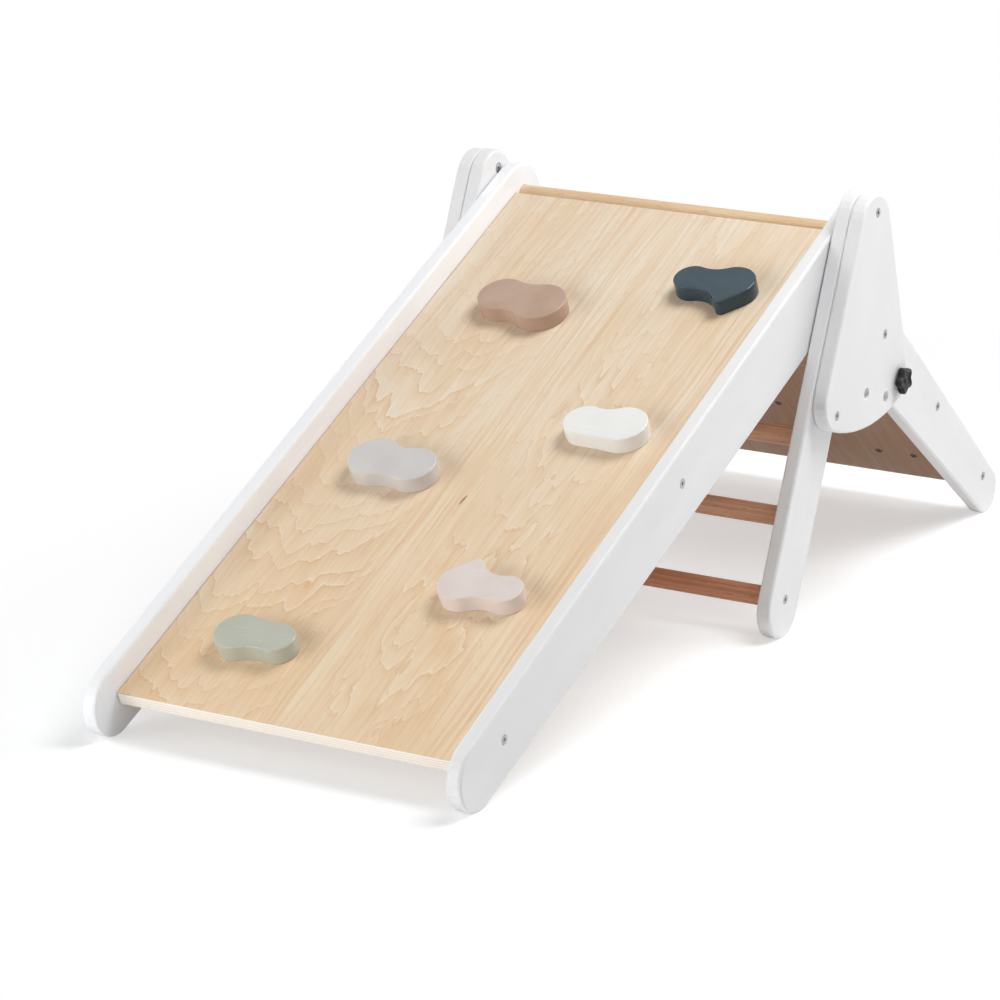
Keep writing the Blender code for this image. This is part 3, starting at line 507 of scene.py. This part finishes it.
# Beech: the head dowel's own tone, then the rungs', written redder, and the lowest rung's also
# darker, as painted shade and warm bounce light under the ramp; the two rung tones differ as dowels
# do
PALE_BEECH = beech("pale_beech", srgb(225, 197, 162), srgb(219, 188, 151), srgb(205, 170, 130))
RED_BEECH_PAINTED_SHADE = beech("red_beech_painted_shade", srgb(222, 161, 131), srgb(212, 149, 118), srgb(174, 110, 80))
TAN_BEECH_PAINTED_BOUNCE = beech("tan_beech_painted_bounce", srgb(233, 184, 155), srgb(223, 171, 141), srgb(188, 133, 101))
STEEL = steel("steel", ZINC)
DARK_STEEL = steel("dark_steel", BLACKENED)
BLACK = black_plastic("black_plastic")
HOLD_PAINTS = {
    "sage": hold_paint("sage_paint", srgb(181, 184, 169), srgb(189, 192, 178)),
    "pink": hold_paint("pink_paint", srgb(223, 210, 203), srgb(228, 217, 211)),
    "lilac": hold_paint("lilac_paint", srgb(204, 199, 196), srgb(210, 206, 203)),
    "white": hold_paint("white_hold_paint", srgb(234, 234, 230), srgb(238, 238, 235)),
    "taupe": hold_paint("taupe_paint", srgb(179, 149, 129), srgb(187, 159, 140)),
    "slate": hold_paint("slate_paint", srgb(42, 62, 73), srgb(50, 71, 82), SLATE_GLOSS),
}

for node in nodes:
    if "hold_" in node:
        dress(node, HOLD_PAINTS[node.rsplit("_", 1)[1]])
    elif node == "ramp_panel":
        dress(node, RAMP_BIRCH)
    elif node == "rear_panel":
        dress(node, REAR_BIRCH_PAINTED_SHADE)
    elif "dowel" in node:
        dress(node, PALE_BEECH)
    elif node.startswith("rung_") and "screw" not in node:
        # The rungs take redder copies of the beech, painted shade and warm bounce light; the lowest
        # takes the darker one
        dress(node, RED_BEECH_PAINTED_SHADE if node == "rung_1" else TAN_BEECH_PAINTED_BOUNCE)
    elif "knob" in node:
        dress(node, BLACK)
    elif "rail" in node:
        # The left rail takes the paler copy of the paint, which is painted light
        dress(node, LEFT_RAIL_PAINTED_LIGHT if "left" in node else RAIL_PAINT)
    elif "rear_leg" in node:
        dress(node, REAR_PAINT)
    elif "front_leg" in node or "fan_plate" in node:
        dress(node, LEG_PAINT)
    else:
        dress(node, STEEL)


# Holds, with the outlines of the CAD solids in finer steps: multiples of HOLD_LENGTH, the lobes
# counter-clockwise from the left one, each with its place and radius, and the hollow after each
HOLD_LENGTH = 0.050
HOLD_THICK = 0.020
HOLD_ROUND = 0.0018
HOLD_BASE_ROUND = 0.0006
ROUND_STEPS = 6
CAP_INSET = 0.0004
FINE_STEP = math.radians(5)
HOLD_SHAPES = {
    "sage": ([(-0.50, 0.0, 0.56), (0.50, 0.0, 0.44)], [0.94, 6.0]),
    "lilac": ([(-0.52, 0.0, 0.64), (0.52, 0.0, 0.58)], [0.88, 0.44]),
    "white": ([(-0.48, 0.0, 0.50), (0.48, 0.0, 0.60)], [6.0, 0.62]),
    "taupe": ([(-0.53, 0.0, 0.60), (0.53, 0.0, 0.68)], [0.50, 1.0]),
    "pink": ([(-0.53, 0.0, 0.44), (0.48, -0.67, 0.15), (0.53, 0.0, 0.57)], [0.65, 12.0, 0.80]),
}
HOLD_SHAPES["slate"] = HOLD_SHAPES["pink"]
# Each hold's place, as shares of the panel's half width and of its length, and its turn in degrees
RAMP_HOLDS = (("sage", -0.432, 0.113, 1), ("pink", 0.530, 0.255, 181), ("lilac", -0.426, 0.437, -3),
              ("white", 0.536, 0.561, 3), ("taupe", -0.421, 0.766, -5), ("slate", 0.563, 0.850, 2))
REAR_HOLDS = (("sage", -0.646, 0.358, 180), ("pink", 0.646, 0.358, -5), ("white", 0.0, 0.606, 183),
              ("taupe", -0.646, 0.854, 176), ("slate", 0.646, 0.854, 180))
# The two screws of a hold, and their heads: height off the panel and radius, from the rim inwards
SCREW_APART = 0.049
SCREW_HEAD = ((0.0, 0.0046), (0.0003, 0.0046), (0.0007, 0.0040), (0.0008, 0.0032), (0.0006, 0.0022),
              (0.0002, 0.0019))


def arc(centre, radius, start, turn):
    """Points of an arc in fine steps, both ends included."""
    count = max(1, math.ceil(abs(turn) / FINE_STEP))
    points = []
    for step in range(count + 1):
        angle = start + turn * step / count
        points.append((centre[0] + radius * math.cos(angle), centre[1] + radius * math.sin(angle)))
    return points


def heading(start, end):
    return math.atan2(end[1] - start[1], end[0] - start[0])


def hollow_centre(lobe, following, radius):
    """Centre of the hollow arc that touches two lobes, outside them and on the way between them."""
    first, second = Vector(lobe[:2]), Vector(following[:2])
    apart = (second - first).length
    ahead = (second - first) / apart
    outward = Vector((ahead.y, -ahead.x))
    to_first, to_second = lobe[2] + radius, following[2] + radius
    along = (to_first ** 2 - to_second ** 2 + apart ** 2) / (2 * apart)
    return first + ahead * along + outward * math.sqrt(to_first ** 2 - along ** 2)


def pebble(lobes, hollows, inset):
    """A pebble outline: round lobes joined by hollow arcs."""
    following = lobes[1:] + lobes[:1]
    centres = [hollow_centre(*trio) for trio in zip(lobes, following, hollows)]
    outline = []
    for index, (lobe, after, radius) in enumerate(zip(lobes, following, hollows)):
        start = heading(lobe, centres[index - 1])
        turn = (heading(lobe, centres[index]) - start) % (2 * math.pi)
        outline += arc(lobe, lobe[2] - inset, start, turn)
        start = heading(centres[index], lobe)
        turn = (start - heading(centres[index], after)) % (2 * math.pi)
        outline += arc(centres[index], radius + inset, start, -turn)[1:-1]
    return outline


def stack(bm, rings):
    """Join closed rings of points one after another and cap both ends."""
    loops = [[bm.verts.new(point) for point in ring] for ring in rings]
    for lower, upper in zip(loops, loops[1:]):
        for index in range(len(lower)):
            following = (index + 1) % len(lower)
            bm.faces.new((lower[index], lower[following], upper[following], upper[index]))
    bm.faces.new(list(reversed(loops[0])))
    bm.faces.new(loops[-1])


def new_piece(name, build, material, body):
    """A smooth-shaded piece of its own that rides on a body."""
    mesh = bpy.data.meshes.new(name)
    bm = bmesh.new()
    build(bm)
    bmesh.ops.recalc_face_normals(bm, faces=bm.faces)
    for face in bm.faces:
        face.smooth = True
    bm.to_mesh(mesh)
    bm.free()
    piece = bpy.data.objects.new(name, mesh)
    bpy.context.scene.collection.objects.link(piece)
    mesh.materials.append(material)
    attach(piece, body)
    return piece


def rounded(height, low_round, high_round):
    """Heights and insets up a solid with its lower and upper edges rounded."""
    levels = [(0.0, low_round + CAP_INSET)]
    for step in range(ROUND_STEPS + 1):
        angle = math.pi / 2 * step / ROUND_STEPS
        levels.append((low_round * (1 - math.cos(angle)), low_round * (1 - math.sin(angle))))
    for step in range(ROUND_STEPS + 1):
        angle = math.pi / 2 * step / ROUND_STEPS
        levels.append((height - high_round * (1 - math.sin(angle)),
                       high_round * (1 - math.cos(angle))))
    levels.append((height, high_round + CAP_INSET))
    return levels


def panel_spot(panel, across, along, off):
    """Placement of a piece that lies on a sloping panel: X across, Y up the slope, Z off it."""
    line = Vector((0.0, math.cos(panel.angle), math.sin(panel.angle)))
    normal = Vector((0.0, -math.sin(panel.angle), math.cos(panel.angle)))
    point = Vector((across, *panel.origin)) + line * along + normal * off
    return Matrix.Translation(point) @ Matrix.Rotation(panel.angle, 4, "X")


def make_hold(node, colour, spot, turn, body):
    """A hold with round edges, in place of its CAD solid."""
    shape = HOLD_SHAPES[colour]
    lobes = [tuple(size * HOLD_LENGTH for size in lobe) for lobe in shape[0]]
    hollows = [size * HOLD_LENGTH for size in shape[1]]

    def build(bm):
        rings = []
        for height, inset in rounded(HOLD_THICK, HOLD_BASE_ROUND, HOLD_ROUND):
            rings.append([(u, v, height) for u, v in pebble(lobes, hollows, inset)])
        stack(bm, rings)
        bm.transform(spot @ Matrix.Rotation(math.radians(turn), 4, "Z"))
    piece = new_piece(node + "_form", build, HOLD_PAINTS[colour], body)
    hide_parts(node)


def make_hold_screws(node, spot, turn, body):
    """The heads of the two screws that come through the panel into a hold, on the panel's back."""
    def build(bm):
        for side in (-1, 1):
            rings = []
            for height, radius in SCREW_HEAD:
                ring = arc((side * SCREW_APART / 2, 0.0), radius, 0.0, 2 * math.pi)[:-1]
                rings.append([(u, v, -height) for u, v in reversed(ring)])
            stack(bm, rings)
        bm.transform(spot @ Matrix.Rotation(math.radians(turn), 4, "Z"))
    new_piece(node + "_screw_heads", build, DARK_STEEL, body)


def make_holds(panel, holds, prefix, body):
    """All holds of a panel, with their screws."""
    for colour, across, along, turn in holds:
        place = (across * panel.half, panel.start + along * panel.length)
        face = panel_spot(panel, *place, panel.top + FIT)
        back = panel_spot(panel, place[0], place[1] - panel.screw_drop, panel.top - PLY)
        make_hold(prefix + colour, colour, face, turn, body)
        make_hold_screws(prefix + colour, back, turn, body)


make_holds(RAMP_PANEL, RAMP_HOLDS, "hold_", "ramp")
make_holds(REAR_PANEL, REAR_HOLDS, "rear_hold_", "rear_frame")


# Star knobs: five lobes, a dished face with a raised middle, and a plain hub behind, with their
# centre in the side view and the distance of their backs from the middle of the part
KNOB_CENTRE = (0.308087, 0.254050)
KNOB_BACK = 0.2781
KNOB_R = 0.0172
KNOB_LOBE = 0.0023
KNOB_LOBES = 5
KNOB_TURN = math.radians(40)
KNOB_POINTS = 20
# Depth, inset from the lobed rim, and how far the ring has turned from lobed to round
KNOB_LEVELS = (
    (0.0000, 0.0072, 1.0), (0.0003, 0.0068, 1.0), (0.0010, 0.0066, 0.8),
    (0.0014, 0.0030, 0.1), (0.0017, 0.0012, 0.0), (0.0024, 0.0003, 0.0),
    (0.0034, 0.0000, 0.0), (0.0084, 0.0001, 0.0), (0.0093, 0.0004, 0.0),
    (0.0100, 0.0010, 0.0), (0.0104, 0.0018, 0.0), (0.0105, 0.0026, 0.0),
    (0.0103, 0.0034, 0.1), (0.0095, 0.0042, 0.4), (0.0087, 0.0052, 0.8),
    (0.0084, 0.0066, 1.0), (0.0084, 0.0100, 1.0), (0.0087, 0.0106, 1.0),
    (0.0094, 0.0110, 1.0), (0.0098, 0.0118, 1.0), (0.0099, 0.0130, 1.0),
)


def make_knob(hand, side):
    """A knob's star, in place of its CAD solid."""
    def build(bm):
        rings = []
        count = KNOB_LOBES * KNOB_POINTS
        for depth, inset, roundness in KNOB_LEVELS:
            ring = []
            for step in range(count):
                angle = 2 * math.pi * step / count
                lobed = KNOB_R - inset - KNOB_LOBE * (1 - math.cos(KNOB_LOBES * angle))
                radius = lobed + roundness * (KNOB_R - inset - KNOB_LOBE - lobed)
                angle += KNOB_TURN
                ring.append((side * (KNOB_BACK + depth), KNOB_CENTRE[0] + radius * math.cos(angle),
                             KNOB_CENTRE[1] + radius * math.sin(angle)))
            rings.append(ring)
        stack(bm, rings)
    piece = new_piece("lock_knob_" + hand + "_form", build, BLACK, "lock_" + hand)
    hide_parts("lock_knob_" + hand)


for hand, side in SIDES:
    make_knob(hand, side)


def looked_at(tree):
    """1 for rays that show a surface, also mirrored or through glass, and 0 for its light."""
    path = tree.nodes.new("ShaderNodeLightPath").outputs
    seen = path["Is Camera Ray"]
    for ray in ("Is Glossy Ray", "Is Transmission Ray"):
        either = tree.nodes.new("ShaderNodeMath")
        either.operation = "MAXIMUM"
        tree.links.new(seen, either.inputs[0])
        tree.links.new(path[ray], either.inputs[1])
        seen = either.outputs[0]
    return seen


# The floor gives light as FLOOR_TONES. It is seen as FLOOR_SEEN, which takes shadows, plus
# FLOOR_GLOW, and fades to plain white between these distances from the middle and to the left
FLOOR_SIZE = 40.0
FLOOR_TONES = ((0.895, 0.895, 0.895), (0.905, 0.905, 0.905))
FLOOR_ROUGHNESS = 0.9
FLOOR_SPECULAR = 0.1
FLOOR_SEEN = (0.60, 0.605, 0.61, 1.0)
FLOOR_GLOW = (0.5, 0.5, 0.5, 1.0)
WHITE = (1.0, 1.0, 1.0, 1.0)
FADE_AWAY = (0.95, 1.5)
FADE_LEFT = (0.30, 0.75)


def floor_material():
    """White studio floor: it takes soft shadows near the object and fades into plain white."""
    g = Graph("studio_floor")
    axes = g.object_axes()
    cloud = g.texture(axes, "floor_cloud")
    g.set(Base_Color=g.mix(g.range(cloud, *SPREAD), *FLOOR_TONES))
    g.fix("Roughness", FLOOR_ROUGHNESS)
    g.fix("Specular IOR Level", FLOOR_SPECULAR)
    diffuse = g.add("ShaderNodeBsdfDiffuse", {"Color": FLOOR_SEEN})
    glow = g.add("ShaderNodeEmission", {"Color": FLOOR_GLOW})
    plain = g.add("ShaderNodeEmission", {"Color": WHITE})
    near = g.add("ShaderNodeAddShader", {0: diffuse, 1: glow})
    away = g.add("ShaderNodeVectorMath", {0: axes}, operation="LENGTH").outputs["Value"]
    left = g.times(g.split(axes)[0], -1.0)
    fade = g.maths("MAXIMUM", g.range(away, *FADE_AWAY), g.range(left, *FADE_LEFT))
    seen = g.add("ShaderNodeMixShader", {0: fade, 1: near, 2: plain})
    final = g.add("ShaderNodeMixShader", {0: looked_at(g.tree), 1: g.shader, 2: seen})
    g.tree.links.new(final.outputs[0], g.tree.nodes["Material Output"].inputs["Surface"])
    return g.material


def make_floor():
    mesh = bpy.data.meshes.new("floor")
    bm = bmesh.new()
    bmesh.ops.create_grid(bm, x_segments=1, y_segments=1, size=FLOOR_SIZE)
    bm.to_mesh(mesh)
    bm.free()
    floor = bpy.data.objects.new("floor", mesh)
    bpy.context.scene.collection.objects.link(floor)
    mesh.materials.append(floor_material())


# How strong the world is as light, and as what is seen
WORLD_LIGHT = 0.01
WORLD_SEEN = 1.0


def make_world():
    """White to the camera, in reflections and through glass, a softer level as light."""
    world = bpy.data.worlds.new("studio")
    world.use_nodes = True
    bpy.context.scene.world = world
    tree = world.node_tree
    background = tree.nodes["Background"]
    seen = looked_at(tree)
    level = tree.nodes.new("ShaderNodeMapRange")
    level.inputs["To Min"].default_value = WORLD_LIGHT
    level.inputs["To Max"].default_value = WORLD_SEEN
    tree.links.new(seen, level.inputs["Value"])
    tree.links.new(level.outputs[0], background.inputs["Strength"])
    background.inputs["Color"].default_value = WHITE


# Camera, solved from the photograph: sensor and lens in millimetres, how far it sees and its place
# in metres, then how far it is turned from the object's front, looks down and is tilted, in degrees
CAMERA_SENSOR = 36.0
CAMERA_LENS = 141.485
CAMERA_FARTHEST = 100.0
CAMERA_PLACE = (2.203605, -3.883009, 1.481562)
CAMERA_TURN = 30.6883
CAMERA_DOWN = 16.7102
CAMERA_TILT = -0.2890


def make_camera():
    data = bpy.data.cameras.new("camera")
    data.sensor_width = CAMERA_SENSOR
    data.lens = CAMERA_LENS
    data.clip_end = CAMERA_FARTHEST
    camera = bpy.data.objects.new("camera", data)
    turn = (Matrix.Rotation(math.radians(CAMERA_TURN), 4, "Z")
            @ Matrix.Rotation(math.radians(90.0 - CAMERA_DOWN), 4, "X")
            @ Matrix.Rotation(math.radians(CAMERA_TILT), 4, "Z"))
    camera.matrix_world = Matrix.Translation(CAMERA_PLACE) @ turn
    bpy.context.scene.collection.objects.link(camera)
    bpy.context.scene.camera = camera


# Soft boxes: name, place, the spot they face, width and height, and power in watts
SOFT_BOXES = (
    ("top_box", (0.9, 0.5, 2.4), (0.0, 0.0, 0.0), (1.2, 1.2), 45.0),
    ("back_box", (2.0, 2.2, 1.6), (0.0, 0.2, 0.2), (2.0, 1.6), 38.5),
    ("left_box", (-2.6, 0.0, 1.2), (0.0, 0.0, 0.2), (2.0, 1.6), 8.0),
    ("left_front_box", (-1.8, -2.2, 1.0), (0.0, 0.0, 0.2), (2.0, 1.6), 31.5),
    ("low_front_box", (-0.6, -2.8, 0.45), (0.0, -0.2, 0.25), (2.0, 0.7), 18.0),
    ("camera_box", (2.2, -2.0, 1.2), (0.0, 0.0, 0.2), (2.0, 1.6), 13.0),
)


def make_soft_box(name, spot, target, size, power):
    data = bpy.data.lights.new(name, "AREA")
    data.shape = "RECTANGLE"
    data.size, data.size_y = size
    data.energy = power
    lamp = bpy.data.objects.new(name, data)
    lamp.location = spot
    lamp.rotation_euler = (Vector(target) - Vector(spot)).to_track_quat("-Z", "Y").to_euler()
    bpy.context.scene.collection.objects.link(lamp)


make_floor()
make_world()
make_camera()
for soft_box in SOFT_BOXES:
    make_soft_box(*soft_box)
bpy.context.scene.view_settings.view_transform = "Standard"
